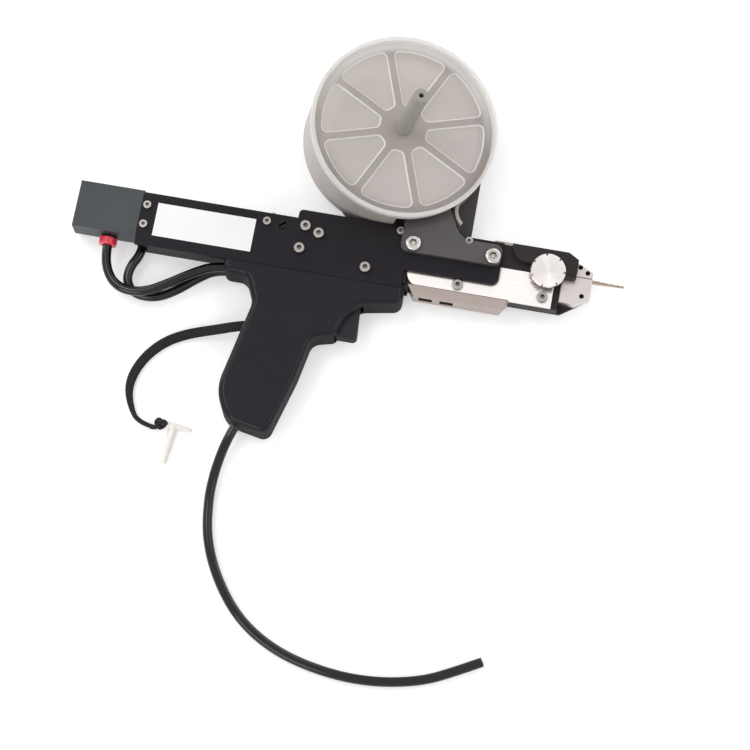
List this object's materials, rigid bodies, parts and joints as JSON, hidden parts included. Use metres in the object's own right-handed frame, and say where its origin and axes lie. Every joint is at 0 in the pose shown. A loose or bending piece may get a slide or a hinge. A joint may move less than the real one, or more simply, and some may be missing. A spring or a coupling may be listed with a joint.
{
  "type": "tag attacher",
  "caption": "Air-powered pistol-grip tag attacher lying on its side, with a slotted needle nose, feed knob, canted reel case, trigger grip, air hoses and a wrist strap.",
  "frame": {"origin": "on the left side plate's outer face, which rests on the floor, below the rear end of the raised part of the body", "axes": "+X forward to the needle, +Y up to the reel as the tool is held, +Z out of the right side, up as it lies"},
  "size_m": [0.3668, 0.4245, 0.1019],
  "materials": {
    "black_anodised": "black anodised, satin",
    "grey_anodised": "dark grey anodised, brushed",
    "bright_aluminium": "bright, fine brushed",
    "steel": "zinc bright",
    "bronze": "plain turned",
    "slide_plastic": "plain",
    "seal_rubber": "matt",
    "frosted_plastic": "frosted, translucent",
    "hub_plastic": "satin",
    "black_plastic": "moulded, fine satin",
    "red_plastic": "gloss",
    "hose_plastic": "gloss",
    "strap_rubber": "matt",
    "white_plastic": "satin",
    "label_film": "printed film, left blank"
  },
  "bodies": {
    "frame": {"base_rail": "black_anodised", "body_screws": "steel", "bracket_screws": "steel", "cover_plate": "bright_aluminium", "cover_screws": "steel", "cylinder_block": "grey_anodised", "cylinder_tube": "bright_aluminium", "feed_bushing": "bronze", "flow_adjuster": "steel", "front_frame": "black_anodised", "front_hose": "hose_plastic", "grip_left_half": "black_plastic", "grip_right_half": "black_plastic", "grip_screws": "steel", "guard_rail": "bright_aluminium", "guard_screws": "steel", "label_plate": "label_film", "left_side_plate": "black_anodised", "lower_jaw": "bright_aluminium", "needle": "steel", "nose_block": "black_anodised", "nose_screws": "steel", "port_fitting": "black_plastic", "rear_hose": "hose_plastic", "rear_screws": "steel", "reel_axle": "steel", "reel_bracket": "grey_anodised", "reel_case": "frosted_plastic", "reel_mount_block": "black_anodised", "reel_support_plate": "black_anodised", "release_collar": "red_plastic", "right_side_plate": "black_anodised", "rod_gland": "bright_aluminium", "slide_guide": "slide_plastic", "small_screws": "steel", "stock_guide": "bright_aluminium", "stop_pin": "steel", "strap_knot": "strap_rubber", "strap_pin": "steel", "supply_hose": "hose_plastic", "t_key": "white_plastic", "top_rail": "black_anodised", "trigger_pin": "steel", "upper_jaw": "bright_aluminium", "valve_body": "bright_aluminium", "valve_plug": "bright_aluminium", "valve_spring": "steel", "wrist_strap": "strap_rubber"},
    "trigger": {"trigger": "black_plastic"},
    "valve_stem": {"valve_stem": "steel"},
    "driver": {"piston": "bright_aluminium", "piston_seals": "seal_rubber", "piston_rod": "steel", "driver_slide": "bright_aluminium", "ejector_rod": "steel"},
    "feed_wheel": {"feed_knob": "bright_aluminium", "feed_shaft": "steel", "feed_sprocket": "steel"},
    "reel_hub": {"reel_hub": "hub_plastic"}
  },
  "joints": [
    {"name": "trigger_pull", "type": "hinge", "parent": "frame", "child": "trigger", "pos_m": [0.04, -0.028, 0.013], "axis": [0, 0, -1], "range_deg": [0, 9.5], "stiffness_Nm_per_rad": 0.8, "springref_deg": -5.73},
    {"name": "valve_stroke", "type": "slide", "parent": "frame", "child": "valve_stem", "axis": [-1, 0, 0], "range_m": [0, 0.0038], "deforming": ["valve_spring"]},
    {"name": "driver_stroke", "type": "slide", "parent": "frame", "child": "driver", "axis": [1, 0, 0], "range_m": [0, 0.055]},
    {"name": "feed_turn", "type": "hinge", "parent": "frame", "child": "feed_wheel", "pos_m": [0.1645, 0.0062, 0.03], "axis": [0, 0, 1], "continuous": true},
    {"name": "hub_turn", "type": "hinge", "parent": "frame", "child": "reel_hub", "pos_m": [0.0555, 0.0839, 0.045], "axis": [0.1736, 0, 0.9848], "continuous": true}
  ],
  "couplings": [
    {"joint": "valve_stroke", "follows": "trigger_pull", "m_per_rad": 0.022}
  ]
}
